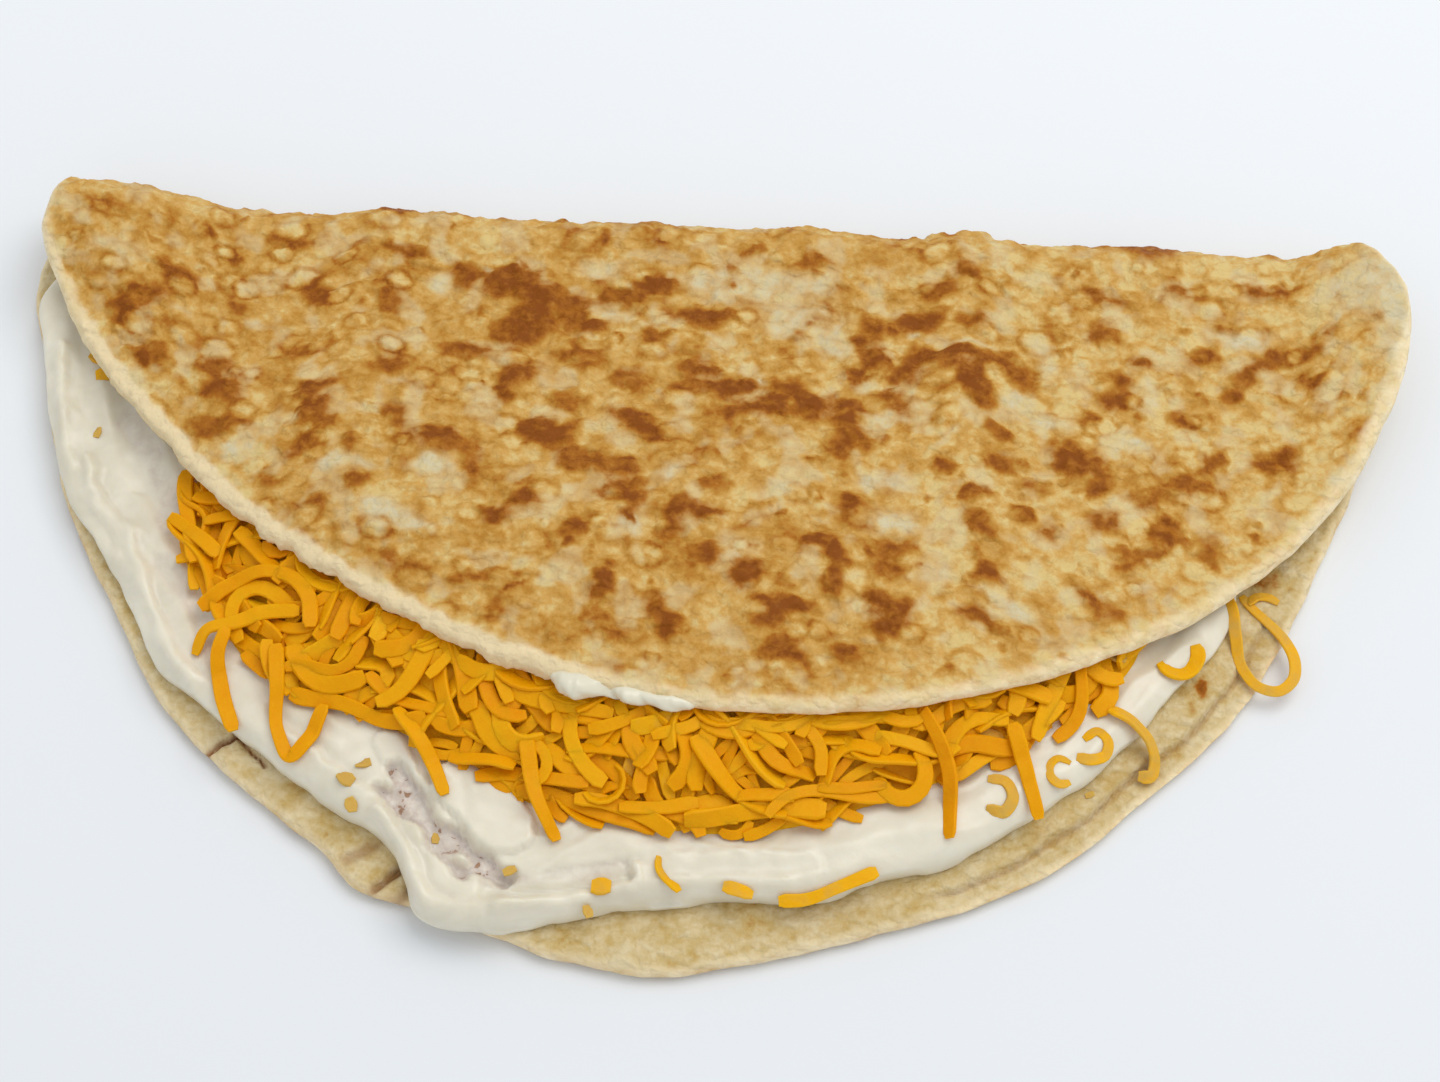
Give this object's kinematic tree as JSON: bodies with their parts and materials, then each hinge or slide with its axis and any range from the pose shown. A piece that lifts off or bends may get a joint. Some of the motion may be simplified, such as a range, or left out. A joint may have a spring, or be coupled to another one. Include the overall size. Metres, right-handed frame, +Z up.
{
  "type": "cheese chapati",
  "caption": "Round griddled flatbread folded in half over a layer of cream cheese and a heap of grated cheddar, with shreds hanging over the spread along its open rim.",
  "frame": {"origin": "middle of the bounding box in plan, on the face it rests on", "axes": "+X along the fold, +Y from the open rim towards the fold, +Z up"},
  "size_m": [0.2015, 0.1171, 0.0177],
  "materials": {
    "bread": "dry griddled dough, pale gold with brown toasted blisters",
    "cream_cheese": "smooth moist cream white spread",
    "cheddar": "waxy orange-yellow grated cheese"
  },
  "bodies": {
    "root": {"bread": "bread", "cream_cheese": "cream_cheese", "cream_smear": "cream_cheese", "cheddar_heap": "cheddar"}
  },
  "joints": []
}
